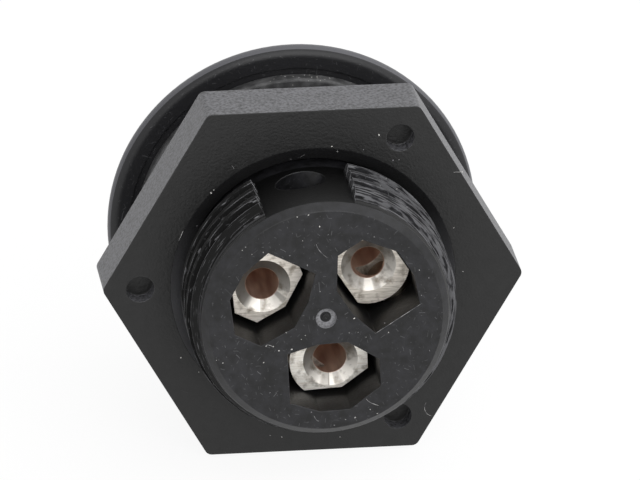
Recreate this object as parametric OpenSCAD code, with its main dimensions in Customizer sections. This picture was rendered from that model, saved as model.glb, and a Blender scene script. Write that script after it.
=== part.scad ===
// Panel-mount circular power connector with three screw-terminal contacts, a panel gasket and a hex lock nut.
// It lies with its axis along Y: the mating face looks towards +Y, the wiring face towards -Y, and +Z is up.
// The origin is on the axis, in the front face of the flange, where the coupling collar starts.

/* [Flange] */
// Diameter of the flange over its round rim
flange_d = 47.2; // [46:0.1:56]
// Thickness of the flange
flange_t = 2.5; // [2:0.1:4]
// Depth of the shallow gasket seat in the flange's rear face
seat_depth = 0.3; // [0.2:0.1:0.8]
// Radial room round the gasket in its seat
seat_clearance = 0.8; // [0.2:0.1:1]

/* [Mounting barrel] */
// Diameter of the barrel at the root of its mounting thread
barrel_d = 31; // [30.4:0.1:32]
// Length of the barrel behind the flange
barrel_len = 32.9; // [30:0.1:38]
// Chamfer round the barrel's rear edge
barrel_chamfer = 0.9; // [0.4:0.1:1.2]
// How far the plain neck under the gasket stands proud of the thread's root
neck_step = 1.5; // [1:0.1:1.8]
// Length of the plain neck behind the flange
neck_len = 2.5; // [2:0.1:4]
// Diameter of the moulding gate's recess in the rear face
gate_d = 2.6; // [1.5:0.1:4]
// Depth of the gate's recess
gate_depth = 0.6; // [0.3:0.1:1.5]
// Diameter of the gate's stub, which stands in that recess
gate_stub_d = 0.9; // [0.5:0.1:1.2]
// How far the gate lies above the axis
gate_lift = 0.25; // [0:0.05:0.4]

/* [Mounting thread] */
// Height of the thread's ridges above the barrel
thread_h = 1.4; // [1:0.1:1.5]
// Advance of the thread in one turn
thread_pitch = 2.5; // [2.3:0.1:3]
// Width of a ridge's flat crest
thread_crest_w = 0.9; // [0.4:0.1:1]
// Width of a ridge at its foot
thread_foot_w = 2; // [1.6:0.1:2.2]
// Angle over the top access hole that the thread leaves plain
thread_gap = 43; // [40:0.5:50]
// Angle of that gap's middle from +X, seen from the wiring side
thread_turn = 97.5; // [94:0.5:101]
// Distance from the neck's end to the first ridge's middle, at the gap
thread_start = 2.15; // [1.4:0.05:4]
// Slope of the cone that leads the lock nut onto the thread
thread_lead_in = 27; // [25:1:45]
// Room between the thread's ends and the neck, the lock nut and the barrel's chamfer
thread_relief = 0.3; // [0.2:0.05:0.6]

/* [Coupling collar] */
// Diameter of the collar at the root of its coupling thread
collar_d = 31.6; // [31:0.1:33]
// Length of the collar in front of the flange
collar_len = 13; // [11:0.5:16]
// Chamfer round the collar's front edge, outside and inside
collar_chamfer = 0.8; // [0.3:0.1:1.1]
// Diameter of the mating socket inside the collar
socket_d = 26.4; // [25:0.1:27.5]
// Depth of the mating socket from the collar's front edge
socket_depth = 22; // [17:0.5:24]
// Width of the polarising key in the socket
key_w = 3; // [2:0.1:5]
// Height of the polarising key above the socket's wall
key_h = 1.2; // [0.6:0.1:2]
// How far the key stops short of the collar's front edge
key_setback = 2; // [1:0.5:5]

/* [Contacts] */
// Diameter of the circle that the contacts stand on
contact_pcd = 15.5; // [15:0.1:16.5]
// Angle of the first contact from +X, seen from the wiring side
contact_turn = 39.5; // [0:0.5:119]
// Turn of each terminal block from square to its radius
terminal_skew = -6.5; // [-8:0.5:0]
// Diameter of the bar that each terminal block is milled from
block_d = 10.3; // [9.8:0.1:10.4]
// Width of the terminal block across its two side flats
block_w = 7.6; // [7:0.1:7.8]
// Height of the terminal block's crown above the contact's axis
block_top = 4.65; // [4.2:0.05:4.8]
// Width of the block's crown
block_top_w = 3.1; // [2.4:0.1:3.4]
// Height above the axis at which the block's slanted flats start
block_shoulder = 1.25; // [0.6:0.05:1.4]
// Length of the terminal block
block_len = 15; // [12.5:0.5:17]
// Depth of the block's end below the barrel's rear face
block_recess = 5.4; // [3:0.1:6.4]
// Diameter of the wire bore
wire_d = 4.2; // [3.2:0.1:4.6]
// Depth of the wire bore from the block's end
wire_depth = 11; // [8.5:0.5:12]
// Diameter of the countersink at the wire bore's mouth
countersink_d = 6.9; // [5:0.1:7.2]
// Depth of that countersink
countersink_depth = 0.95; // [0.5:0.05:1]
// Diameter of the contact's shank in the web between pocket and socket
shank_d = 6; // [5:0.1:7]
// Diameter of the contact pin
pin_d = 4; // [3:0.1:4.8]
// Distance of the pin's tip behind the collar's front edge
pin_recess = 5; // [3:0.5:8]

/* [Terminal pockets] */
// Width of the pocket
pocket_w = 9.05; // [8.6:0.05:9.2]
// Height of the pocket's crown above the contact's axis
pocket_top = 5.55; // [5.2:0.05:5.9]
// Width of the pocket's crown
pocket_top_w = 3.65; // [3.4:0.05:4.2]
// Height above the axis at which the pocket's slanted sides start
pocket_shoulder = 1.65; // [1.5:0.05:2]
// Depth of the pocket's foot below the axis
pocket_foot = 5.9; // [5.4:0.05:6]
// Depth below the axis at which the pocket's sides start to close in
pocket_waist = 2.2; // [1.6:0.05:2.6]
// How far its side towards the connector's axis closes in down to the foot
pocket_close_in = 0.9; // [0.3:0.05:1.2]
// How far its outer side closes in, which shows which way the block goes in
pocket_close_out = 1.5; // [1.2:0.05:1.6]
// Radial room round the shank in the web
shank_clearance = 0.1; // [0.05:0.01:0.2]

/* [Terminal screws] */
// Diameter of the terminal screws
screw_d = 4; // [3.5:0.1:4.4]
// Length of the terminal screws
screw_len = 6; // [5:0.1:8]
// Distance of the screw's axis from the terminal block's end
screw_from_end = 3.4; // [3.3:0.1:5]
// Turn of the screw's axis from square to the block's crown
screw_turn = 4.5; // [0:0.5:5]
// Gap between the screw's tip and the wire bore while the terminal is open
screw_lift = 0.3; // [0.1:0.1:0.8]
// Chamfer on the screw's tip
screw_chamfer = 0.7; // [0.3:0.1:1]
// Width of the driving slot
slot_w = 0.8; // [0.6:0.1:1.2]
// Depth of the driving slot
slot_depth = 1.3; // [0.8:0.1:2]
// Radial running clearance of the screw in the terminal block
screw_clearance = 0.05; // [0.03:0.01:0.1]
// Radial room round the screw in the barrel's access hole
access_clearance = 0.7; // [0.2:0.05:0.8]

/* [Panel gasket] */
// Radial width of the gasket
gasket_w = 3; // [2:0.1:3.4]
// Thickness of the gasket
gasket_t = 2.1; // [1.2:0.1:2.6]
// Rounding of the gasket's edges
gasket_edge = 0.4; // [0.2:0.1:0.5]
// Radial room between gasket and neck
gasket_clearance = 0.1; // [0.05:0.05:0.3]

/* [Lock nut] */
// Width of the nut across its flats
nut_af = 46; // [43:0.5:54]
// Thickness of the nut
nut_t = 8.1; // [6:0.1:12]
// Distance from the flange's rear face to the nut
nut_gap = 12.1; // [8:0.1:18]
// Rounding of the nut's six corners
nut_corner_r = 1; // [0.4:0.1:3]
// Radial clearance of the nut's bore on the barrel
nut_clearance = 0.25; // [0.1:0.05:0.5]
// Chamfer at both ends of the nut's bore
nut_chamfer = 2.2; // [0.8:0.1:2.4]
// Diameter of the three blind spanner holes
spanner_hole_d = 3.5; // [2.5:0.1:4.5]
// Depth of the spanner holes
spanner_hole_depth = 2.2; // [1.5:0.1:4]
// Distance of the spanner holes from the nut's corners
spanner_inset = 4.8; // [4.6:0.1:6]

/* [Hidden] */
$fn = 96;
// Cuts run past the faces they open by this much
past = 1;
poles = 3;
// Heights along the axis, counted from the flange's front face towards the wiring side
barrel_end = flange_t + barrel_len;
block_end = barrel_end - block_recess;
block_seat = block_end - block_len;
screw_height = block_end - screw_from_end;
neck_end = flange_t + neck_len;
socket_floor = socket_depth - collar_len;
pin_tip = pin_recess - collar_len;
gasket_front = flange_t - seat_depth;
nut_front = flange_t + nut_gap;
nut_back = nut_front + nut_t;
// Radii and half widths
barrel_r = barrel_d / 2;
neck_r = barrel_r + neck_step;
thread_r = barrel_r + thread_h;
gasket_in_r = neck_r + gasket_clearance;
gasket_out_r = gasket_in_r + gasket_w;
seat_r = gasket_out_r + seat_clearance;
flange_r = flange_d / 2;
rim_r = flange_t / 2;
collar_r = collar_d / 2;
socket_r = socket_d / 2;
nut_bore_r = barrel_r + nut_clearance;
nut_corner = nut_af / sqrt(3);
spanner_r = nut_corner - spanner_inset;
// Sectors of each turn of the mounting thread, the angle of one, how far they lap, the turns, their slant, and how
// far they root in the barrel
sectors = 4;
sector_turn = (360 - thread_gap) / sectors;
sector_lap = 0.6;
ridges = ceil((barrel_end - neck_end) / thread_pitch);
thread_lead = atan(thread_pitch / (2 * PI * barrel_r));
thread_root = 0.3;
black_nylon = "#2b2b2d";
black_rubber = "#1c1c1d";
nickel = "#c4beb2";
steel = "#b3b1ac";

// Turns the axis, along which the modules build towards the wiring side, to lie along -Y
module laid() {
    rotate([90, 0, 0]) children();
}

// Puts children on contact i: X away from the axis, Y towards the block's crown, Z towards the wiring side
module at_contact(i) {
    rotate(contact_turn + i * 360 / poles)
        translate([contact_pcd / 2, 0, 0])
            rotate(terminal_skew)
                children();
}

// Puts children on the screw of a contact, in the block's round side: Z outwards along the screw's axis
module at_screw() {
    rotate(screw_turn) translate([0, 0, screw_height]) rotate([90, 0, 0]) children();
}

// Outline of a terminal block: a flat crown, slanted shoulders and side flats on a round bar
module block_outline() {
    half = block_w / 2;
    intersection() {
        circle(d = block_d);
        polygon([
            [-block_top_w / 2, block_top], [block_top_w / 2, block_top],
            [half, block_shoulder], [half, -block_d], [-half, -block_d], [-half, block_shoulder]
        ]);
    }
}

// Outline of a terminal pocket: a house whose sides close in towards its foot
module pocket_outline() {
    half = pocket_w / 2;
    polygon([
        [-pocket_top_w / 2, pocket_top], [pocket_top_w / 2, pocket_top],
        [half, pocket_shoulder], [half, -pocket_waist],
        [half - pocket_close_out, -pocket_foot], [pocket_close_in - half, -pocket_foot],
        [-half, -pocket_waist], [-half, pocket_shoulder]
    ]);
}

// Half section of the flange with its full-round rim and gasket seat
module flange_section() {
    difference() {
        union() {
            square([flange_r - rim_r, flange_t]);
            translate([flange_r - rim_r, rim_r]) circle(rim_r);
        }
        translate([0, gasket_front]) square([seat_r, seat_depth + past]);
    }
}

// Half section of the barrel, its neck and its chamfered end
module barrel_section() {
    square([neck_r, neck_end]);
    polygon([
        [0, 0], [barrel_r, 0], [barrel_r, barrel_end - barrel_chamfer],
        [barrel_r - barrel_chamfer, barrel_end], [0, barrel_end]
    ]);
}

// Half section of one thread ridge before its crest is cut flat: two slanted flanks, rooted in the barrel
module ridge_section() {
    slope = (thread_foot_w - thread_crest_w) / 2 / thread_h;
    foot = thread_foot_w / 2 + slope * thread_root;
    tip = thread_foot_w / 2 / slope;
    polygon([[barrel_r - thread_root, -foot], [barrel_r + tip, 0], [barrel_r - thread_root, foot]]);
}

// Half section of the room that the thread may fill between two heights: flat crests and a lead-in cone
module thread_zone(from, to) {
    polygon([
        [barrel_r - past, from], [barrel_r, from], [thread_r, from + thread_h],
        [thread_r, to - thread_h / tan(thread_lead_in)], [barrel_r, to], [barrel_r - past, to]
    ]);
}

// Mounting thread: its turns are ring sectors, slanted to the thread's lead, and give way to the lock nut
module mounting_thread() {
    intersection() {
        for (i = [0 : sectors - 1], k = [0 : ridges]) {
            middle = thread_gap / 2 + sector_turn * (i + 0.5);
            translate([0, 0, neck_end + thread_start + thread_pitch * (k + middle / 360)])
                rotate(thread_turn + middle)
                    rotate([thread_lead, 0, 0])
                        rotate(-(sector_turn + sector_lap) / 2)
                            rotate_extrude(angle = sector_turn + sector_lap) ridge_section();
        }
        rotate_extrude() {
            thread_zone(neck_end + thread_relief, nut_front + nut_chamfer - thread_relief);
            thread_zone(nut_back + thread_relief, barrel_end - barrel_chamfer - thread_relief);
        }
    }
}

// Half section of the coupling collar, solid
module collar_section() {
    polygon([
        [0, past], [collar_r, past], [collar_r, collar_chamfer - collar_len],
        [collar_r - collar_chamfer, -collar_len], [0, -collar_len]
    ]);
}

// Half section of the mating socket with its lead-in chamfer
module socket_section() {
    mouth = socket_r + collar_chamfer;
    polygon([
        [0, socket_floor], [socket_r, socket_floor], [socket_r, collar_chamfer - collar_len],
        [mouth, -collar_len], [mouth, -collar_len - past], [0, -collar_len - past]
    ]);
}

// Polarising key along the top of the mating socket
module socket_key() {
    key_top = socket_r + (collar_r - socket_r) / 2;
    translate([-key_w / 2, socket_r - key_h, key_setback - collar_len])
        cube([key_w, key_top - socket_r + key_h, socket_floor + collar_len - key_setback]);
}

// What one pole takes out of the moulding: pocket, shank hole and screw access hole
module pole_cuts() {
    translate([0, 0, block_seat])
        linear_extrude(barrel_end - block_seat + past) pocket_outline();
    translate([0, 0, socket_floor - past])
        cylinder(r = shank_d / 2 + shank_clearance, h = block_seat - socket_floor + 2 * past);
    at_screw() cylinder(r = screw_d / 2 + access_clearance, h = barrel_d);
}

// Mark of the moulding gate near the middle of the rear face
module gate_mark() {
    translate([0, gate_lift, barrel_end - gate_depth])
        difference() {
            cylinder(d = gate_d, h = gate_depth + past);
            cylinder(d = gate_stub_d, h = gate_depth / 2);
        }
}

// One moulding: flange, threaded barrel with terminal pockets, and coupling collar with the mating socket
module housing() {
    color(black_nylon) laid() {
        difference() {
            union() {
                rotate_extrude() {
                    flange_section();
                    barrel_section();
                    collar_section();
                }
                mounting_thread();
            }
            rotate_extrude() socket_section();
            gate_mark();
            for (i = [0 : poles - 1]) at_contact(i) pole_cuts();
        }
        socket_key();
    }
}

// Flat sealing ring with soft edges, in the flange's seat
module panel_gasket() {
    color(black_rubber) laid()
        translate([0, 0, gasket_front])
            rotate_extrude() translate([gasket_in_r, 0]) {
                translate([0, gasket_edge]) square([gasket_w, gasket_t - 2 * gasket_edge]);
                translate([gasket_edge, 0]) square([gasket_w - 2 * gasket_edge, gasket_t]);
                for (x = [gasket_edge, gasket_w - gasket_edge], z = [gasket_edge, gasket_t - gasket_edge])
                    translate([x, z]) circle(gasket_edge);
            }
}

// Outline of the nut: a hexagon with flats above and below and rounded corners
module nut_outline() {
    reach = nut_corner - 2 * nut_corner_r / sqrt(3);
    polygon([
        for (i = [0 : 5], s = [-1, 1])
            let (a = 60 * i, c = reach * [cos(a), sin(a)], n = a + 30 * s)
                c + nut_corner_r * [cos(n), sin(n)]
    ]);
    for (i = [0 : 5]) rotate(60 * i) translate([reach, 0]) circle(nut_corner_r);
}

// Hex lock nut with a chamfered bore and three blind spanner holes in its outer face
module lock_nut() {
    color(black_nylon) laid()
        difference() {
            translate([0, 0, nut_front]) linear_extrude(nut_t) nut_outline();
            translate([0, 0, nut_front - past]) cylinder(r = nut_bore_r, h = nut_t + 2 * past);
            for (end = [nut_front, nut_back])
                translate([0, 0, end]) mirror([0, 0, end == nut_front ? 1 : 0])
                    translate([0, 0, -nut_chamfer])
                        cylinder(r1 = nut_bore_r, r2 = nut_bore_r + nut_chamfer, h = nut_chamfer);
            for (i = [0 : 2])
                rotate(60 + 120 * i)
                    translate([spanner_r, 0, nut_back - spanner_hole_depth])
                        cylinder(d = spanner_hole_d, h = spanner_hole_depth + past);
        }
}

// Turned and milled contact: terminal block, shank and round-nosed pin in one piece
module contact(i) {
    color(nickel) laid() at_contact(i)
        difference() {
            union() {
                translate([0, 0, block_seat]) linear_extrude(block_len) block_outline();
                translate([0, 0, socket_floor]) cylinder(d = shank_d, h = block_seat - socket_floor + past);
                rotate_extrude() pin_section();
            }
            translate([0, 0, block_end - wire_depth]) cylinder(d = wire_d, h = wire_depth + past);
            translate([0, 0, block_end - countersink_depth])
                cylinder(d1 = wire_d, d2 = countersink_d, h = countersink_depth);
            at_screw() cylinder(r = screw_d / 2 + screw_clearance, h = block_d);
        }
}

// Half section of the pin with its round nose
module pin_section() {
    nose = pin_d / 2;
    translate([0, pin_tip + nose]) square([nose, socket_floor - pin_tip - nose + past]);
    intersection() {
        translate([0, pin_tip + nose]) circle(nose);
        translate([0, pin_tip]) square([nose, pin_d]);
    }
}

// Slotted terminal screw with a chamfered tip, standing just clear of the wire bore
module terminal_screw(i) {
    tip = wire_d / 2 + screw_lift;
    screw_r = screw_d / 2;
    color(steel) laid() at_contact(i) at_screw()
        translate([0, 0, tip])
            difference() {
                rotate_extrude() polygon([
                    [0, 0], [screw_r - screw_chamfer, 0], [screw_r, screw_chamfer],
                    [screw_r, screw_len], [0, screw_len]
                ]);
                translate([-slot_w / 2, -screw_d, screw_len - slot_depth])
                    cube([slot_w, 2 * screw_d, slot_depth + past]);
            }
}

housing();
panel_gasket();
lock_nut();
contact(0);  // contact_1
contact(1);  // contact_2
contact(2);  // contact_3
terminal_screw(0);  // terminal_screw_1
terminal_screw(1);  // terminal_screw_2
terminal_screw(2);  // terminal_screw_3
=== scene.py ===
"""Looks of a panel-mount circular power connector: finishes for its solids, a coupling thread, dust and lint.

Lengths in the tables are millimetres in the frame of the solids: the axis lies along Y, the wiring face looks
towards -Y, X is to the right and Z is up. Angles round the axis are degrees from +X towards +Z.
"""

import bpy
import numpy as np
from mathutils import Matrix


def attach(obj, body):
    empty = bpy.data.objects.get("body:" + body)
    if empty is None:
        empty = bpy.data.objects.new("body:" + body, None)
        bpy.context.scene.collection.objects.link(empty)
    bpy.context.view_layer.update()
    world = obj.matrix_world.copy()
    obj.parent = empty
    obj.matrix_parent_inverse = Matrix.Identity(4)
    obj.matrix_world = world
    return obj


MM = 0.001
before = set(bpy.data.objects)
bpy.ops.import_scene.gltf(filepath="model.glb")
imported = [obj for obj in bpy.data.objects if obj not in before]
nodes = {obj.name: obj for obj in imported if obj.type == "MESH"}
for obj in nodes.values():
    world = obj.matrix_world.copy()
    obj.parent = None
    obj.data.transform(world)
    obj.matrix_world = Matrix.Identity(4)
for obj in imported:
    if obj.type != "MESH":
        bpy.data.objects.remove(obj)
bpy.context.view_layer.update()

# Sizes shared with the solids
BARREL_R = 15.5
BARREL_END = -35.4
NUT_BACK = -22.7
FUNNEL_R = 18.0
FLANGE_BACK = -4.0
RIM_R = 23.3
GASKET_R = 20.1
COLLAR_R = 15.8
COLLAR_END = 13.0
COLLAR_CHAMFER = 0.8
CONTACT_R = 7.75
CONTACT_TURN = 39.5
WIRE_R = 2.1
WIRE_END = -19.0
SINK_R = 3.45
SINK_END = -28.6
GATE_R = 1.3
GATE_Z = 0.25


def linear(colour):
    """sRGB hex to linear RGBA: up to 0.04045 a value is divided by 12.92, above it follows a 2.4 power curve."""
    c = np.array([int(colour[i : i + 2], 16) for i in (1, 3, 5)]) / 255
    return (*np.where(c <= 0.04045, c / 12.92, ((c + 0.055) / 1.055) ** 2.4), 1.0)


def add(tree, kind, inputs=None, out=0, **settings):
    """Adds one node and returns its output: settings are its properties, inputs are values or the sockets that
    feed them, by name or place."""
    made = tree.nodes.new(kind)
    for key, value in settings.items():
        setattr(made, key, value)
    for key, value in (inputs or {}).items():
        if isinstance(value, bpy.types.NodeSocket):
            tree.links.new(value, made.inputs[key])
        else:
            made.inputs[key].default_value = value
    return made.outputs[out]


def new_material(name):
    """A material with the standard shader. Returns the material, its nodes and that shader's inputs."""
    material = bpy.data.materials.new(name)
    material.use_nodes = True
    tree = material.node_tree
    return material, tree, tree.nodes["Principled BSDF"].inputs


def per_metre(size_mm):
    """Texture scale whose cells are size_mm wide."""
    return 1 / (size_mm * MM)


# Mix of two colours: the places of its inputs, and the settings and output that make it one
FACTOR, FIRST, SECOND = 0, 6, 7
COLOURS = {"out": 2, "data_type": "RGBA"}

# Rubbing and painted light on the mounting thread, with painted shade on its left: the X between which they grow
# from left to right, as a range to map from, and the length and width of its streaks
RUBBED_AND_LIT_X = {"From Min": -3 * MM, "From Max": 8 * MM}
STREAK_LENGTH, STREAK_WIDTH = 2.2, 0.17

# Height over the barrel at which a ridge of that thread starts, and the radius that edges seem rounded by
RIDGE_FOOT = 0.2
EDGE_R = 0.2

# Gate: half the width of its torn ring, and how far inside the gate's edge its dark core starts
GATE_RING = 0.3
GATE_CORE = 0.75


def scuff_marks(tree, place, facing, scuffs):
    """Paleness of the scuffs on faces that look towards -Y. Each layer, given as cell, longest stroke, width, share
    of cells and strength, has one bent stroke in each cell, turned, shortened and faded by the cell's own random
    colour."""
    end_face = add(tree, "ShaderNodeMath", {0: facing, 1: -0.9}, operation="LESS_THAN")
    bend = add(tree, "ShaderNodeTexNoise", {"Vector": place, "Scale": per_metre(1.6)}, "Color")
    most_bend = (0.5 * MM,) * 3
    bent = add(tree, "ShaderNodeVectorMath", {0: bend, 1: most_bend, 2: place}, operation="MULTIPLY_ADD")
    pale = 0.0
    for cell, length, width, share, strength in scuffs:
        cells = {"Vector": bent, "Scale": per_metre(cell)}
        chance = add(tree, "ShaderNodeTexVoronoi", cells, "Color")
        middle = add(tree, "ShaderNodeTexVoronoi", cells, "Position")
        turn, drawn, reach = (
            add(tree, "ShaderNodeSeparateColor", {"Color": chance}, part) for part in ("Red", "Green", "Blue")
        )
        away = add(tree, "ShaderNodeVectorMath", {0: bent, 1: middle}, operation="SUBTRACT")
        angle = add(tree, "ShaderNodeMath", {0: turn, 1: 2 * np.pi}, operation="MULTIPLY")
        stroke = add(tree, "ShaderNodeVectorRotate", {"Vector": away, "Axis": (0, 1, 0), "Angle": angle})
        size = add(tree, "ShaderNodeVectorMath", {0: stroke}, operation="ABSOLUTE")
        along, beside = (add(tree, "ShaderNodeSeparateXYZ", {"Vector": size}, part) for part in "XZ")
        limit = add(tree, "ShaderNodeMath", {0: reach, 1: length / 2 * MM}, operation="MULTIPLY")
        scuff = add(tree, "ShaderNodeMath", {0: along, 1: limit}, operation="LESS_THAN")
        core, rim = width / 4 * MM, width / 2 * MM
        line = add(
            tree,
            "ShaderNodeMapRange",
            {"Value": beside, "From Min": core, "From Max": rim, "To Min": 1.0, "To Max": 0.0},
        )
        faded = add(
            tree,
            "ShaderNodeMapRange",
            {"Value": drawn, "From Min": 1 - share, "From Max": 1.0, "To Min": 0.0, "To Max": strength},
        )
        for part in (line, faded, end_face):
            scuff = add(tree, "ShaderNodeMath", {0: scuff, 1: part}, operation="MULTIPLY")
        pale = add(tree, "ShaderNodeMath", {0: pale, 1: scuff}, operation="MAXIMUM")
    return pale


def thread_streaks(tree, x, y, z, streaks):
    """Paleness of the streaks along the thread, rubbing with painted light that grows towards the right: noise
    drawn out round the axis, by a bearing that starts at the bottom. They are given as the noise's threshold and
    their strength, each left and right."""
    down = add(tree, "ShaderNodeMath", {0: z, 1: -1.0}, operation="MULTIPLY")
    bearing = add(tree, "ShaderNodeMath", {0: x, 1: down}, operation="ARCTAN2")
    drawn_out = add(tree, "ShaderNodeMath", {0: bearing, 1: BARREL_R / STREAK_LENGTH}, operation="MULTIPLY")
    packed = add(tree, "ShaderNodeMath", {0: y, 1: per_metre(STREAK_WIDTH)}, operation="MULTIPLY")
    wound = add(tree, "ShaderNodeCombineXYZ", {"X": drawn_out, "Y": packed})
    streak = add(tree, "ShaderNodeTexNoise", {"Vector": wound, "Scale": 1.0, "Detail": 3.0})
    least, most = (
        add(tree, "ShaderNodeMapRange", {"Value": x, **RUBBED_AND_LIT_X, "To Min": left, "To Max": right})
        for left, right in streaks
    )
    over = add(tree, "ShaderNodeMath", {0: streak, 1: least}, operation="SUBTRACT")
    return add(tree, "ShaderNodeMapRange", {"Value": over, "From Max": 0.1, "To Max": most})


def worn_and_lit_edges(tree, place, normal, soft, ridge):
    """Paleness of worn edges, with painted edge highlights: the softened normal leaves the true one only beside an
    edge. The wear and the highlights come and go, and are strongest on the ridges of the thread."""
    same = add(tree, "ShaderNodeVectorMath", {0: soft, 1: normal}, "Value", operation="DOT_PRODUCT")
    worn = add(
        tree,
        "ShaderNodeMapRange",
        {"Value": same, "From Min": 0.85, "From Max": 0.995, "To Min": 1.0, "To Max": 0.0},
    )
    spots = add(tree, "ShaderNodeTexNoise", {"Vector": place, "Scale": per_metre(2.2), "Detail": 4.0})
    spotty = add(tree, "ShaderNodeMapRange", {"Value": spots, "From Min": 0.4, "From Max": 0.62})
    wear = add(tree, "ShaderNodeMapRange", {"Value": ridge, "To Min": 0.13, "To Max": 0.9})
    for part in (spotty, wear):
        worn = add(tree, "ShaderNodeMath", {0: worn, 1: part}, operation="MULTIPLY")
    return worn


def moulded_nylon(name, skin, sides, front, funnel_light, rubbed_and_lit, grain, gloss, scuffs, streaks, gate):
    """Black glass-filled nylon as it comes from the mould: a dull skin with fine grain and cloudy patches. Handling
    leaves thin pale scuffs on the faces that look along the axis, pale streaks along the thread, more of them on
    its right, and paler edges. On top of this, painted light makes the streaks paler to the right, painted
    highlights make the edges paler, and painted shade darkens the thread's left, its grooves and the gap between
    them.

    skin is its darkest and lightest shade. sides is two radii, between which the faces that look across the axis
    have a tone of their own, and that tone; where it is paler than the skin it is a painted sheen. front is the
    tones ahead of the flange's back and on its rim, where there is one; the rim's paler tone is a painted sheen.
    funnel is how far the bore at 45 degrees is painted lighter, towards the pale shade, as painted light in its
    shade. grain is its width and height, and gloss is the roughness, the specular level and the roughness added on
    the sides. gate is how pale the torn gate is."""
    material, tree, shader = new_material(name)
    place = add(tree, "ShaderNodeTexCoord", out="Object")
    normal = add(tree, "ShaderNodeNewGeometry", out="Normal")
    x, y, z = (add(tree, "ShaderNodeSeparateXYZ", {"Vector": place}, part) for part in "XYZ")
    facing = add(tree, "ShaderNodeSeparateXYZ", {"Vector": normal}, "Y")
    across = add(tree, "ShaderNodeVectorMath", {0: place, 1: (1, 0, 1)}, operation="MULTIPLY")
    radius = add(tree, "ShaderNodeVectorMath", {0: across}, "Value", operation="LENGTH")
    inner_r, outer_r, side_tone_and_sheen = sides
    grain_width, grain_height = grain
    roughness, specular, side_roughness = gloss

    # Cloudy patches about 1.2 mm wide, and grain
    cloud = add(tree, "ShaderNodeTexNoise", {"Vector": place, "Scale": per_metre(1.2), "Detail": 6.0})
    fine = add(tree, "ShaderNodeTexNoise", {"Vector": place, "Scale": per_metre(grain_width), "Detail": 3.0})
    patches = add(tree, "ShaderNodeMapRange", {"Value": cloud, "From Min": 0.35, "From Max": 0.68})
    mottle = add(tree, "ShaderNodeMapRange", {"Value": fine, "From Min": 0.3, "From Max": 0.6})
    shades = {FACTOR: patches, FIRST: linear(skin[0]), SECOND: linear(skin[1])}
    colour = add(tree, "ShaderNodeMix", shades, **COLOURS)

    # Sides, turned 60 degrees or more from the axis, in a tone the grain mottles; on the nut a paler painted sheen
    sideways = add(tree, "ShaderNodeMath", {0: facing, 1: 0.0, 2: 0.5}, operation="COMPARE")
    beyond = add(tree, "ShaderNodeMath", {0: radius, 1: inner_r * MM}, operation="GREATER_THAN")
    within = add(tree, "ShaderNodeMath", {0: radius, 1: outer_r * MM}, operation="LESS_THAN")
    side = sideways
    for part in (beyond, within):
        side = add(tree, "ShaderNodeMath", {0: side, 1: part}, operation="MULTIPLY")
    mottled = add(tree, "ShaderNodeMath", {0: side, 1: mottle}, operation="MULTIPLY")
    shades = {FACTOR: mottled, FIRST: colour, SECOND: linear(side_tone_and_sheen)}
    colour = add(tree, "ShaderNodeMix", shades, **COLOURS)

    # Front of the moulding: lighter grey ahead of the flange's back, and a paler painted sheen on the flange's rim
    ahead = add(tree, "ShaderNodeMath", {0: y, 1: FLANGE_BACK * MM}, operation="GREATER_THAN")
    rim = add(tree, "ShaderNodeMath", {0: radius, 1: RIM_R * MM}, operation="GREATER_THAN")
    rim = add(tree, "ShaderNodeMath", {0: ahead, 1: rim}, operation="MULTIPLY")
    for part, tint in zip((ahead, rim), front):
        shades = {FACTOR: part, FIRST: colour, SECOND: linear(tint)}
        colour = add(tree, "ShaderNodeMix", shades, **COLOURS)

    # Funnel of the nut at 45 degrees, painted lighter as painted light in its shade, most of all below
    lit_funnel = add(tree, "ShaderNodeMath", {0: facing, 1: -0.707, 2: 0.2}, operation="COMPARE")
    inner = add(tree, "ShaderNodeMath", {0: radius, 1: FUNNEL_R * MM}, operation="LESS_THAN")
    lit_below = add(
        tree,
        "ShaderNodeMapRange",
        {"Value": z, "From Min": -2 * MM, "From Max": 9 * MM, "To Min": funnel_light, "To Max": funnel_light / 8},
    )
    for part in (inner, lit_below):
        lit_funnel = add(tree, "ShaderNodeMath", {0: lit_funnel, 1: part}, operation="MULTIPLY")
    shades = {FACTOR: lit_funnel, FIRST: colour, SECOND: linear(rubbed_and_lit)}
    colour = add(tree, "ShaderNodeMix", shades, **COLOURS)

    # Painted shade on the thread: its ridges darker on the left, and its grooves and the gap between them dark
    behind = add(tree, "ShaderNodeMath", {0: y, 1: NUT_BACK * MM}, operation="LESS_THAN")
    ridge = add(tree, "ShaderNodeMath", {0: radius, 1: (BARREL_R + RIDGE_FOOT) * MM}, operation="GREATER_THAN")
    ridge = add(tree, "ShaderNodeMath", {0: ridge, 1: behind}, operation="MULTIPLY")
    groove_shade = add(tree, "ShaderNodeMath", {0: radius, 1: BARREL_R * MM, 2: RIDGE_FOOT * MM}, operation="COMPARE")
    for part in (sideways, behind):
        groove_shade = add(tree, "ShaderNodeMath", {0: groove_shade, 1: part}, operation="MULTIPLY")
    left_shade = add(tree, "ShaderNodeMapRange", {"Value": x, **RUBBED_AND_LIT_X, "To Min": 1.0, "To Max": 0.0})
    left_shade = add(tree, "ShaderNodeMath", {0: left_shade, 1: ridge}, operation="MULTIPLY")
    dark = add(tree, "ShaderNodeMath", {0: groove_shade, 1: left_shade}, operation="MAXIMUM")
    shades = {FACTOR: dark, FIRST: colour, SECOND: linear("#040404")}
    colour = add(tree, "ShaderNodeMix", shades, **COLOURS)

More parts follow.
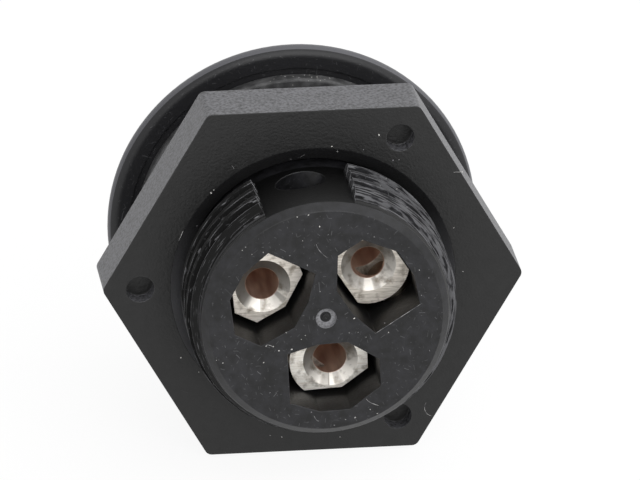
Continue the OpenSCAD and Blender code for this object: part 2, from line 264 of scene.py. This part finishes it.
    # Gate: torn pale nylon in a ring round its dark core
    from_gate = add(tree, "ShaderNodeVectorMath", {0: across, 1: (0, 0, GATE_Z * MM)}, operation="SUBTRACT")
    gate_r = add(tree, "ShaderNodeVectorMath", {0: from_gate}, "Value", operation="LENGTH")
    ring_place = {0: gate_r, 1: (GATE_R - GATE_RING) * MM, 2: GATE_RING * MM}
    ring = add(tree, "ShaderNodeMath", ring_place, operation="COMPARE")
    torn = add(tree, "ShaderNodeMapRange", {"Value": mottle, "To Min": gate / 2, "To Max": gate})
    for part in (ring, behind):
        torn = add(tree, "ShaderNodeMath", {0: torn, 1: part}, operation="MULTIPLY")
    core = add(tree, "ShaderNodeMath", {0: gate_r, 1: (GATE_R - GATE_CORE) * MM}, operation="LESS_THAN")
    core = add(tree, "ShaderNodeMath", {0: core, 1: behind}, operation="MULTIPLY")
    shades = {FACTOR: core, FIRST: colour, SECOND: linear("#020202")}
    colour = add(tree, "ShaderNodeMix", shades, **COLOURS)

    # Pale marks, the palest at each point; the streaks carry painted light and the edges painted highlights
    soft = add(tree, "ShaderNodeBevel", {"Radius": EDGE_R * MM}, samples=8)
    worn = worn_and_lit_edges(tree, place, normal, soft, ridge)
    streaked = thread_streaks(tree, x, y, z, streaks)
    streaked = add(tree, "ShaderNodeMath", {0: streaked, 1: ridge}, operation="MULTIPLY")
    pale = scuff_marks(tree, place, facing, scuffs)
    for part in (streaked, worn, torn):
        pale = add(tree, "ShaderNodeMath", {0: pale, 1: part}, operation="MAXIMUM")
    shades = {FACTOR: pale, FIRST: colour, SECOND: linear(rubbed_and_lit)}
    colour = add(tree, "ShaderNodeMix", shades, **COLOURS)
    tree.links.new(colour, shader["Base Color"])

    # Roughness, uneven with the grain and highest on the ridges
    uneven = {"To Min": roughness - 0.08, "To Max": roughness + 0.08}
    dull = add(tree, "ShaderNodeMapRange", {"Value": fine, **uneven})
    for part, more in ((ridge, 0.6), (side, side_roughness)):
        dull = add(tree, "ShaderNodeMath", {0: part, 1: more, 2: dull}, operation="MULTIPLY_ADD")
    tree.links.new(dull, shader["Roughness"])
    relief = add(tree, "ShaderNodeBump", {"Height": fine, "Distance": grain_height * MM, "Normal": soft})
    tree.links.new(relief, shader["Normal"])
    shader["IOR"].default_value = 1.5
    shader["Specular IOR Level"].default_value = specular
    return material


def soft_rubber(name):
    """Black moulded rubber: matt, slightly grey with bloom, dust held in pinpoints on its skin."""
    material, tree, shader = new_material(name)
    place = add(tree, "ShaderNodeTexCoord", out="Object")
    bloom = add(tree, "ShaderNodeTexNoise", {"Vector": place, "Scale": per_metre(1.2), "Detail": 5.0})
    haze = add(tree, "ShaderNodeMapRange", {"Value": bloom, "From Min": 0.4, "From Max": 0.7})
    dust = add(tree, "ShaderNodeTexVoronoi", {"Vector": place, "Scale": per_metre(0.8)}, "Distance")
    speck = add(
        tree,
        "ShaderNodeMapRange",
        {"Value": dust, "From Min": 0.08, "From Max": 0.14, "To Min": 0.7, "To Max": 0.0},
    )
    colour = linear("#303031")
    for part, tint in ((haze, "#565657"), (speck, "#b4b1aa")):
        shades = {FACTOR: part, FIRST: colour, SECOND: linear(tint)}
        colour = add(tree, "ShaderNodeMix", shades, **COLOURS)
    tree.links.new(colour, shader["Base Color"])
    relief = add(tree, "ShaderNodeBump", {"Height": bloom, "Distance": 0.03 * MM})
    tree.links.new(relief, shader["Normal"])
    shader["Roughness"].default_value = 0.62
    shader["IOR"].default_value = 1.52
    return material


def turned_nickel(name, turn, end_face, facet_reflections):
    """Nickel on turned brass: bright, with fine rings left by the tool. Its end face has two tones, painted for the
    light that this contact gets. The countersink has painted reflections: a few broad bands round it, some bright
    and some grey, given as bearings from the lowest point and tones. The wire bore, which the plating hardly
    reached, is as brown as old copper."""
    material, tree, shader = new_material(name)
    place = add(tree, "ShaderNodeTexCoord", out="Object")
    angle = np.radians(turn)
    centre = (CONTACT_R * np.cos(angle) * MM, 0, CONTACT_R * np.sin(angle) * MM)
    off = add(tree, "ShaderNodeVectorMath", {0: place, 1: centre}, operation="SUBTRACT")
    across = add(tree, "ShaderNodeVectorMath", {0: off, 1: (1, 0, 1)}, operation="MULTIPLY")
    radius = add(tree, "ShaderNodeVectorMath", {0: across}, "Value", operation="LENGTH")
    beside, depth, height = (add(tree, "ShaderNodeSeparateXYZ", {"Vector": off}, part) for part in "XYZ")

    # Painted reflections in facets round the countersink, by the bearing from its lowest point, darkest at the top
    down = add(tree, "ShaderNodeMath", {0: height, 1: -1.0}, operation="MULTIPLY")
    bearing = add(tree, "ShaderNodeMath", {0: beside, 1: down}, operation="ARCTAN2")
    share = add(tree, "ShaderNodeMapRange", {"Value": bearing, "From Min": -np.pi, "From Max": np.pi})
    ramp = add(tree, "ShaderNodeValToRGB", {"Fac": share})
    stops = ramp.node.color_ramp.elements
    for top in stops:
        top.color = (0.05, 0.05, 0.05, 1)
    for degrees, tone in facet_reflections:
        stops.new(degrees / 360 + 0.5).color = (tone, tone, tone, 1)
    shades = {FACTOR: ramp, FIRST: linear("#5a544e"), SECOND: linear("#fffaf2")}
    facet_reflection = add(tree, "ShaderNodeMix", shades, **COLOURS)

    # End face, rubbed across a cloth, which left fine lines 0.14 mm apart, in two tones painted for this contact's
    # light
    line_scale = (per_metre(1.6), per_metre(1.6), per_metre(0.14))
    lines = add(tree, "ShaderNodeMapping", {"Vector": place, "Rotation": (0, 0.5, 0), "Scale": line_scale})
    stain = add(tree, "ShaderNodeTexNoise", {"Vector": lines, "Scale": 1.0, "Detail": 3.0})
    blotch = add(tree, "ShaderNodeMapRange", {"Value": stain, "From Min": 0.35, "From Max": 0.6})
    shades = {FACTOR: blotch, FIRST: linear(end_face[0]), SECOND: linear(end_face[1])}
    face = add(tree, "ShaderNodeMix", shades, **COLOURS)

    # Brown grime in patches over the end face and the countersink
    sunk = add(tree, "ShaderNodeMath", {0: radius, 1: SINK_R * MM}, operation="LESS_THAN")
    shallow = add(tree, "ShaderNodeMath", {0: depth, 1: SINK_END * MM}, operation="LESS_THAN")
    sunk = add(tree, "ShaderNodeMath", {0: sunk, 1: shallow}, operation="MULTIPLY")
    colour = add(tree, "ShaderNodeMix", {FACTOR: sunk, FIRST: face, SECOND: facet_reflection}, **COLOURS)
    spots = add(tree, "ShaderNodeTexNoise", {"Vector": place, "Scale": per_metre(1.1), "Detail": 6.0})
    grime = add(tree, "ShaderNodeMapRange", {"Value": spots, "From Min": 0.5, "From Max": 0.7, "To Max": 0.8})
    shades = {FACTOR: grime, FIRST: colour, SECOND: linear("#7d7263")}
    colour = add(tree, "ShaderNodeMix", shades, **COLOURS)

    # Bore: inside the wire hole the colour turns to brown copper, streaked along the hole
    drag_scale = (per_metre(1.5), per_metre(9.0), per_metre(1.5))
    drag = add(tree, "ShaderNodeMapping", {"Vector": place, "Scale": drag_scale})
    worn = add(tree, "ShaderNodeTexNoise", {"Vector": drag, "Scale": 1.0, "Detail": 2.0})
    tarnish = add(tree, "ShaderNodeMapRange", {"Value": worn, "From Min": 0.35, "From Max": 0.65})
    shades = {FACTOR: tarnish, FIRST: linear("#b28e7c"), SECOND: linear("#e8cbb6")}
    copper = add(tree, "ShaderNodeMix", shades, **COLOURS)
    inside = add(tree, "ShaderNodeMath", {0: radius, 1: (WIRE_R + 0.03) * MM}, operation="LESS_THAN")
    behind = add(tree, "ShaderNodeMath", {0: depth, 1: (WIRE_END + 0.1) * MM}, operation="LESS_THAN")
    bore = add(tree, "ShaderNodeMath", {0: inside, 1: behind}, operation="MULTIPLY")
    colour = add(tree, "ShaderNodeMix", {FACTOR: bore, FIRST: colour, SECOND: copper}, **COLOURS)
    tree.links.new(colour, shader["Base Color"])
    for key, plain, brown in (("Roughness", 0.38, 0.5), ("Metallic", 0.7, 0.4)):
        level = add(tree, "ShaderNodeMapRange", {"Value": bore, "To Min": plain, "To Max": brown})
        tree.links.new(level, shader[key])

    # Tool marks: rings 0.16 mm apart
    rings = add(tree, "ShaderNodeMath", {0: radius, 1: 2 * np.pi * per_metre(0.16)}, operation="MULTIPLY")
    ring = add(tree, "ShaderNodeMath", {0: rings}, operation="SINE")
    marks = add(tree, "ShaderNodeMath", {0: ring, 1: stain}, operation="MULTIPLY")
    relief = add(tree, "ShaderNodeBump", {"Height": marks, "Distance": 0.004 * MM})
    tree.links.new(relief, shader["Normal"])
    return material


def zinc_steel(name):
    """Zinc on steel that has dulled to a brownish grey, with a slightly uneven, fine-grained sheen."""
    material, tree, shader = new_material(name)
    place = add(tree, "ShaderNodeTexCoord", out="Object")
    grain = add(tree, "ShaderNodeTexNoise", {"Vector": place, "Scale": per_metre(0.3), "Detail": 3.0})
    dull = add(tree, "ShaderNodeMapRange", {"Value": grain, "To Min": 0.25, "To Max": 0.5})
    tree.links.new(dull, shader["Roughness"])
    shades = {FACTOR: grain, FIRST: linear("#857c70"), SECOND: linear("#b3a999")}
    colour = add(tree, "ShaderNodeMix", shades, **COLOURS)
    tree.links.new(colour, shader["Base Color"])
    shader["Metallic"].default_value = 1.0
    return material


def pale_dust(name, dark, light):
    """House dust and lint: matt, from a darker to a lighter grey, a little uneven from grain to grain."""
    material, tree, shader = new_material(name)
    place = add(tree, "ShaderNodeTexCoord", out="Object")
    grain = add(tree, "ShaderNodeTexNoise", {"Vector": place, "Scale": per_metre(0.7)})
    mottle = add(tree, "ShaderNodeMapRange", {"Value": grain, "From Min": 0.35, "From Max": 0.65})
    shades = {FACTOR: mottle, FIRST: linear(dark), SECOND: linear(light)}
    colour = add(tree, "ShaderNodeMix", shades, **COLOURS)
    tree.links.new(colour, shader["Base Color"])
    shader["Roughness"].default_value = 0.9
    return material


# Housing: the paler rim of its flange is a painted sheen, and the thread's streaks carry painted light on its right
body_nylon = moulded_nylon(
    "moulded_black_nylon",
    skin=("#111112", "#222225"),
    sides=(0, BARREL_R - 1.1, "#181715"),
    front=("#202022", "#58585c"),
    funnel_light=0.0,
    rubbed_and_lit="#8a8a8d",
    grain=(0.3, 0.02),
    gloss=(0.4, 0.36, 0.1),
    scuffs=((2.6, 1.6, 0.1, 0.35, 0.36), (1.1, 0.7, 0.1, 0.5, 0.22), (0.7, 0.4, 0.11, 0.5, 0.18)),
    streaks=((0.62, 0.45), (0.8, 0.38)),
    gate=1.0,
)
# Nut: the paler tone of its sides is a painted sheen, and its funnel is painted lighter as painted light in its
# shade
nut_nylon = moulded_nylon(
    "moulded_black_nut_nylon",
    skin=("#0c0c0c", "#131313"),
    sides=(19.0, 40.0, "#66666a"),
    front=(),
    funnel_light=0.6,
    rubbed_and_lit="#77777a",
    grain=(0.35, 0.05),
    gloss=(0.45, 0.45, 0.0),
    scuffs=((4.5, 1.2, 0.08, 0.2, 0.12),),
    streaks=((1.0, 1.0), (0.0, 0.0)),
    gate=0.0,
)
gasket_rubber = soft_rubber("black_gasket_rubber")
screw_steel = zinc_steel("dulled_zinc_steel")
dust_white = pale_dust("pale_house_dust", "#77767a", "#d2d0cb")
lint_and_highlight_grey = pale_dust("grey_lint_and_highlight", "#4c4c4f", "#a09f9e")
finishes = {"housing": body_nylon, "panel_gasket": gasket_rubber, "lock_nut": nut_nylon}

# Contacts: the darkest and lightest shade of each end face, painted for the light that contact gets, and the
# painted reflections on each countersink as facets, each a bearing from its lowest point, positive to the right,
# and a tone
LIT_END_FACES = (("#cac2b6", "#efe8de"), ("#d6cec2", "#f8f1e8"), ("#ece5da", "#fffcf5"))
FACET_REFLECTIONS = (
    (
        (-110, 0.35), (-80, 0.55), (-50, 0.7), (-28, 0.6), (-24, 0.4), (-13, 0.45), (-9, 0.78), (10, 0.78),
        (15, 0.4), (25, 0.4), (31, 0.95), (56, 1.0), (62, 0.85), (95, 0.85), (125, 0.3),
    ),
    (
        (-120, 0.1), (-75, 0.18), (-48, 0.25), (-40, 0.5), (-32, 0.95), (-7, 0.95), (-5, 0.5), (10, 0.55),
        (17, 0.85), (44, 0.95), (48, 0.45), (58, 0.45), (62, 1.0), (70, 0.95), (74, 0.5), (100, 0.4), (130, 0.15),
    ),
    (
        (-120, 0.15), (-85, 0.3), (-62, 0.6), (-48, 1.0), (-26, 1.0), (-19, 0.5), (-5, 0.45), (-3, 0.1),
        (-1, 0.85), (7, 0.85), (12, 0.55), (24, 0.55), (31, 1.0), (60, 1.0), (67, 0.85), (92, 0.75), (120, 0.25),
    ),
)  # fmt: skip
for i, (end_face, facet_reflections) in enumerate(zip(LIT_END_FACES, FACET_REFLECTIONS)):
    number, turn = i + 1, CONTACT_TURN + 120 * i
    finishes["contact_%d" % number] = turned_nickel("turned_nickel_%d" % number, turn, end_face, facet_reflections)
    finishes["terminal_screw_%d" % number] = screw_steel
for name, finish in finishes.items():
    nodes[name].data.materials.clear()
    nodes[name].data.materials.append(finish)


def piece(name, verts, faces, body, slot, material):
    """A mesh object at the origin, from points in millimetres and lists of corners, that rides on a body."""
    mesh = bpy.data.meshes.new(name)
    mesh.from_pydata((np.asarray(verts) * MM).tolist(), [], faces)
    mesh.validate()
    mesh.materials.append(material)
    made = bpy.data.objects.new(name, mesh)
    bpy.context.scene.collection.objects.link(made)
    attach(made, body)


def swept(rings):
    """Closed skins from an array of sweeps, rings along each, corners round each ring and three coordinates: quads
    join each ring to the next, and the first and last ring of each sweep are capped."""
    index = np.arange(rings[..., 0].size).reshape(rings.shape[:3])
    here, there = index[:, :-1], index[:, 1:]
    corners = [here, np.roll(here, -1, 2), np.roll(there, -1, 2), there]
    quads = np.stack(corners, -1).reshape(-1, 4).tolist()
    return rings.reshape(-1, 3), quads + index[:, 0, ::-1].tolist() + index[:, -1].tolist()


# Coupling thread on the front collar, sunk a little into its root
PITCH = 2.5
CREST_R = 16.9
ROOT_R = COLLAR_R - 0.3
THREAD_START = 0.8
THREAD_STEPS = 401
ridge_section = np.array([(ROOT_R, -1.1), (CREST_R, -0.45), (CREST_R, 0.45), (ROOT_R, 1.1)])


def coupling_ridge(lit_below, high, steps):
    """Thread ridge: the section, a radius and a place along the axis, is carried round the axis while it moves one
    pitch per turn towards -Y. Its places stay between low and high, and its radius shrinks to the root there,
    which makes a lead-in cone at each end."""
    reach = high - lit_below
    t = np.linspace(0, 1, steps)[:, None]
    y = np.clip(high - reach * t + ridge_section[:, 1], lit_below, high)
    cone = COLLAR_R + np.minimum(y - lit_below, high - y)
    r = np.maximum(np.minimum(ridge_section[:, 0], cone), ROOT_R)
    a = 2 * np.pi * reach / PITCH * t
    return swept(np.stack([r * np.cos(a), y, r * np.sin(a)], -1)[None])


piece(
    "coupling_thread",
    *coupling_ridge(THREAD_START, COLLAR_END - COLLAR_CHAMFER, THREAD_STEPS),
    "connector",
    "black_nylon",
    body_nylon,
)


# Half the thickness of dust and lint, pressed almost flush into the face that they lie on
FLAKE = 0.02


def specks(places, sizes, seed):
    """Dust grains: each is an uneven flake, a ring of eight corners carried from pole to pole through five heights,
    pressed flat against the face behind it and turned by chance."""
    chance = np.random.default_rng(seed)
    places, sizes = np.asarray(places, float), np.asarray(sizes, float)
    lift = np.linspace(-1, 1, 5)
    swell = np.sqrt(1.02 - lift**2)
    round_ = np.arange(8) * np.pi / 4
    stretch = chance.uniform(0.6, 1.5, (len(places), 1, 1))
    tilt = chance.uniform(0, np.pi, (len(places), 1, 1))
    bumps = chance.uniform(0.8, 1.2, (len(places), len(lift), len(round_)))
    half = sizes[:, None, None] / 2 * bumps
    u = half * stretch * swell[:, None] * np.cos(round_)
    v = half / stretch * swell[:, None] * np.sin(round_)
    x = places[:, 0, None, None] + u * np.cos(tilt) - v * np.sin(tilt)
    z = places[:, 2, None, None] + u * np.sin(tilt) + v * np.cos(tilt)
    y = places[:, 1, None, None] - FLAKE * lift[None, :, None] + 0 * x
    return swept(np.stack([x, y, z], -1))


def strands(paths, width):
    """Lint, and a strand of painted edge highlight: each path's three or more points are joined by one smooth
    polynomial through them, 25 points long, and a six-cornered flat ring of the given width is carried along it,
    thinning at both ends."""
    t = np.linspace(0, 1, 25)
    round_ = np.arange(6) * np.pi / 3
    thin = np.sqrt(np.clip(1.05 - (2 * t - 1) ** 4, 0.05, 1)) * width / 2
    flat = 2 * FLAKE / width
    rings = []
    for points in paths:
        points = np.asarray(points, float)
        knots = np.linspace(0, 1, len(points))
        line = np.stack([np.polyval(np.polyfit(knots, c, len(points) - 1), t) for c in points.T], -1)
        way = np.gradient(line, axis=0)
        way /= np.linalg.norm(way, axis=1)[:, None]
        side = np.cross(way, (0, 1, 0))
        side /= np.linalg.norm(side, axis=1)[:, None]
        over = np.cross(way, side)
        spread = side[:, None] * np.cos(round_)[:, None] + over[:, None] * np.sin(round_)[:, None] * flat
        rings.append(line[:, None] + thin[:, None, None] * spread)
    return swept(np.array(rings))


# Dust: X, Z and size on the rear face, X, Y, Z and size on the nut, and X, Y and Z on the gasket and the thread
rear_dust = np.array(
    [
        (-7.3, 9.1, 0.24), (-7.9, 9.5, 0.14), (-2.4, 7.5, 0.18), (-0.9, 12.6, 0.16), (-2.3, 14.2, 0.14),
        (-3.7, 14.0, 0.16), (0.2, 11.5, 0.1), (-0.8, 3.9, 0.12), (-3.0, 10.8, 0.1), (-4.6, 8.9, 0.14),
        (-10.5, 9.9, 0.14), (-10.1, 10.3, 0.12), (-9.3, 9.3, 0.1), (-4.3, -3.7, 0.22), (-5.9, -3.8, 0.16),
        (-5.0, -1.4, 0.14), (-2.6, -1.9, 0.12), (-3.1, -2.4, 0.1), (7.8, -2.0, 0.14), (5.0, -2.5, 0.12),
        (2.9, -1.8, 0.1), (4.0, -1.8, 0.1), (-1.8, -12.3, 0.14), (5.6, -12.3, 0.14), (3.5, 0.1, 0.18),
        (7.3, -0.7, 0.12), (12.8, 5.1, 0.14), (11.9, 2.8, 0.12), (5.9, 10.9, 0.12), (11.6, 6.2, 0.12),
        (-7.8, -5.3, 0.14), (-7.0, -9.4, 0.14), (3.7, -13.3, 0.22), (13.0, -4.7, 0.12), (6.5, -12.9, 0.12),
        (1.1, -14.2, 0.14), (2.5, -13.5, 0.12), (-12.9, -5.1, 0.14), (-13.7, -4.7, 0.12), (-7.5, -3.1, 0.14),
        (-7.1, -3.0, 0.12), (-6.6, -3.2, 0.14),
    ]
)  # fmt: skip
nut_dust = np.array(
    [
        (8.18, NUT_BACK, 19.37, 0.2), (-12.87, NUT_BACK, 12.56, 0.22), (-12.54, NUT_BACK, 12.96, 0.14),
        (2.26, NUT_BACK, 18.1, 0.16), (3.0, -22.32, 17.25, 0.14), (6.23, NUT_BACK, 17.5, 0.12),
        (9.97, NUT_BACK, 15.89, 0.18), (10.72, NUT_BACK, 15.93, 0.12), (18.73, NUT_BACK, 13.92, 0.14),
        (17.73, NUT_BACK, 6.45, 0.12), (18.96, NUT_BACK, 0.46, 0.12), (-16.68, NUT_BACK, -9.54, 0.18),
        (-14.41, NUT_BACK, -11.6, 0.12), (-3.87, NUT_BACK, -21.03, 0.16), (-5.35, NUT_BACK, -20.73, 0.12),
        (3.54, NUT_BACK, -21.4, 0.14), (-14.48, -21.12, 7.58, 0.14),
    ]
)  # fmt: skip
gasket_angles = np.radians((93.3, 88.5, 86.2, 83.8, 81.7, 79.0, 76.9, 97.5))
gasket_depths = np.array((-3.2, -3.8, -3.0, -3.6, -3.3, -3.9, -3.1, -3.5))
gasket_x, gasket_z = GASKET_R * np.cos(gasket_angles), GASKET_R * np.sin(gasket_angles)
gasket_dust = np.stack([gasket_x, gasket_depths, gasket_z], -1)
thread_dust = np.array(
    [(10.48, -31.85, 13.26), (9.84, -26.96, 13.74), (8.78, -25.07, 14.44), (7.44, -29.27, 15.17)]
)
GRAIN = 0.16
on_rear = np.insert(rear_dust[:, :2], 1, BARREL_END, 1)
grains = np.full(len(gasket_dust) + len(thread_dust), GRAIN)
piece(
    "dust_on_connector",
    *specks(np.concatenate([on_rear, gasket_dust, thread_dust]), np.concatenate([rear_dust[:, 2], grains]), 3),
    "connector",
    "black_nylon",
    dust_white,
)
piece("dust_on_nut", *specks(nut_dust[:, :3], nut_dust[:, 3], 5), "nut", "nut_nylon", dust_white)

# Lint, hairs, short bright scratches and a pale strand of painted edge highlight: X and Z on the rear face and on
# the nut, X, Y and Z in its funnel
LINT_WIDTH = 0.07
rear_lint_and_highlight = (
    ((-1.3, 10.3), (-0.85, 9.33), (0.17, 8.32)),
    ((5.1, -10.79), (5.55, -11.32), (6.71, -11.84)),
    ((-1.46, -12.79), (-1.15, -13.39), (-0.8, -13.54)),
    ((11.61, 0.48), (12.0, 0.46), (12.41, 0.44)),
    ((-7.56, -3.0), (-7.14, -2.96), (-6.64, -3.25)),
    # Along the lower edge of the pocket of contact 1: a pale strand that is a painted edge highlight
    ((6.18, -2.04), (8.97, -0.23), (11.99, 1.74)),
)
nut_lint = (
    ((-10.33, 16.13), (-10.15, 15.92), (-10.01, 15.65)),
    ((-16.4, 7.65), (-16.6, 7.1), (-16.95, 6.29)),
    ((17.62, 13.94), (18.2, 13.94), (18.73, 13.92)),
    ((14.51, -17.18), (14.29, -18.04), (14.64, -18.79), (15.33, -19.07)),
)
funnel_lint = ((-2.85, -21.2, 16.08), (-2.05, -20.6, 15.78), (-0.91, -21.7, 16.8))
on_rear = [[(x, BARREL_END, z) for x, z in path] for path in rear_lint_and_highlight]
on_nut = [[(x, NUT_BACK, z) for x, z in path] for path in nut_lint]
piece("lint_and_highlight_on_connector", *strands(on_rear, LINT_WIDTH), "connector", "black_nylon", lint_and_highlight_grey)
piece("lint_on_nut", *strands(on_nut + [funnel_lint], LINT_WIDTH), "nut", "nut_nylon", lint_and_highlight_grey)

# Floor: pale, white to the camera and in reflections, with a trace of the connector's shadow
FLOOR_Z = -23.6
FLOOR_HALF = 1500.0
FLOOR_GLOW = 0.88
corner = np.array([(-1, -1), (1, -1), (1, 1), (-1, 1)]) * FLOOR_HALF
floor_mesh = bpy.data.meshes.new("floor")
floor_mesh.from_pydata((np.c_[corner, np.full(4, FLOOR_Z)] * MM).tolist(), [], [(0, 1, 2, 3)])
floor = bpy.data.objects.new("floor", floor_mesh)
bpy.context.scene.collection.objects.link(floor)
paper = bpy.data.materials.new("white_paper_floor")
paper.use_nodes = True
tree = paper.node_tree
tree.nodes.remove(tree.nodes["Principled BSDF"])
WHITE_TO = ("Is Camera Ray", "Is Glossy Ray", "Is Transmission Ray")
seen = 0.0
for ray in WHITE_TO:
    path = add(tree, "ShaderNodeLightPath", out=ray)
    seen = add(tree, "ShaderNodeMath", {0: seen, 1: path}, operation="MAXIMUM")
lit = add(tree, "ShaderNodeBsdfDiffuse", {"Color": linear("#e6e6e6")})
glow = add(tree, "ShaderNodeEmission", {"Color": (1, 1, 1, 1), "Strength": 1.04})
trace = add(tree, "ShaderNodeMixShader", {0: FLOOR_GLOW, 1: lit, 2: glow})
mixed = add(tree, "ShaderNodeMixShader", {0: seen, 1: lit, 2: trace})
tree.links.new(mixed, tree.nodes["Material Output"].inputs["Surface"])
floor_mesh.materials.append(paper)

# Light: a room that is white to the camera and in reflections. Its soft light is a little stronger from behind the
# connector, and weaker from a corner at the upper left.
DIM_CORNER = (-0.8, 0.28, 0.53)
scene = bpy.context.scene
scene.world = bpy.data.worlds.new("white_room")
scene.world.use_nodes = True
tree = scene.world.node_tree
direction = add(tree, "ShaderNodeTexCoord", out="Generated")
towards = add(tree, "ShaderNodeSeparateXYZ", {"Vector": direction}, "Y")
back = add(
    tree,
    "ShaderNodeMapRange",
    {"Value": towards, "From Min": -0.4, "From Max": 0.7, "To Min": 0.92, "To Max": 1.0},
    interpolation_type="SMOOTHSTEP",
)
nearness = add(tree, "ShaderNodeVectorMath", {0: direction, 1: DIM_CORNER}, "Value", operation="DOT_PRODUCT")
corner_dim = add(
    tree,
    "ShaderNodeMapRange",
    {"Value": nearness, "From Min": 0.6, "From Max": 0.9, "To Min": 1.0, "To Max": 0.1},
    interpolation_type="SMOOTHSTEP",
)
level = add(tree, "ShaderNodeMath", {0: back, 1: corner_dim}, operation="MULTIPLY")
for ray in WHITE_TO:
    path = add(tree, "ShaderNodeLightPath", out=ray)
    level = add(tree, "ShaderNodeMath", {0: level, 1: path}, operation="MAXIMUM")
tree.links.new(level, tree.nodes["Background"].inputs["Strength"])
tree.nodes["Background"].inputs["Color"].default_value = (1, 1, 1, 1)


def placed(x, y, z, place):
    """World matrix with the given axes and its origin at a place in millimetres."""
    rows = np.c_[np.stack([x, y, z], 1), np.asarray(place, float) * MM].tolist()
    return Matrix(rows + [[0, 0, 0, 1]])


def softbox(name, place, target, size, watts):
    """A square area light that looks from its place to a target, both in millimetres."""
    lamp = bpy.data.lights.new(name, "AREA")
    lamp.size = size * MM
    lamp.energy = watts
    made = bpy.data.objects.new(name, lamp)
    z = np.array(place, float) - np.array(target, float)
    z /= np.linalg.norm(z)
    x = np.cross((0, 1, 0.001), z)
    x /= np.linalg.norm(x)
    made.matrix_world = placed(x, np.cross(z, x), z, place)
    scene.collection.objects.link(made)


softbox("softbox_above", (60, -40, 520), (0, -15, 0), 420, 0.15)
softbox("softbox_right", (480, -60, 430), (0, -15, 0), 300, 0.5)
softbox("softbox_front", (90, -520, 330), (0, -25, 0), 560, 1.8)

# Camera: the photograph's view, found from the nut's corners; lengths in millimetres
VIEW_AZIMUTH, VIEW_ELEVATION, VIEW_ROLL = np.radians((7.5498, 22.1933, 0.34))
VIEW_DISTANCE = 1127.71
VIEW_OFFSET = (-0.736, -5.221)
VIEW_AIM = np.array((0.13, NUT_BACK, -0.02))
SENSOR_WIDTH = 36
FOCAL_LENGTH = 506.25
forward = np.array(
    [
        np.sin(VIEW_AZIMUTH) * np.cos(VIEW_ELEVATION),
        np.cos(VIEW_AZIMUTH) * np.cos(VIEW_ELEVATION),
        -np.sin(VIEW_ELEVATION),
    ]
)
level_right = np.array([np.cos(VIEW_AZIMUTH), -np.sin(VIEW_AZIMUTH), 0])
level_up = np.cross(level_right, forward)
right = level_right * np.cos(VIEW_ROLL) + level_up * np.sin(VIEW_ROLL)
up = level_up * np.cos(VIEW_ROLL) - level_right * np.sin(VIEW_ROLL)
eye = VIEW_AIM - VIEW_OFFSET[0] * right - VIEW_OFFSET[1] * up - VIEW_DISTANCE * forward
lens = bpy.data.cameras.new("camera")
lens.sensor_fit = "HORIZONTAL"
lens.sensor_width = SENSOR_WIDTH
lens.lens = FOCAL_LENGTH
lens.clip_start = 0.1
lens.clip_end = 10
camera = bpy.data.objects.new("camera", lens)
camera.matrix_world = placed(right, up, -forward, eye)
scene.collection.objects.link(camera)
scene.camera = camera
scene.view_settings.view_transform = "Standard"
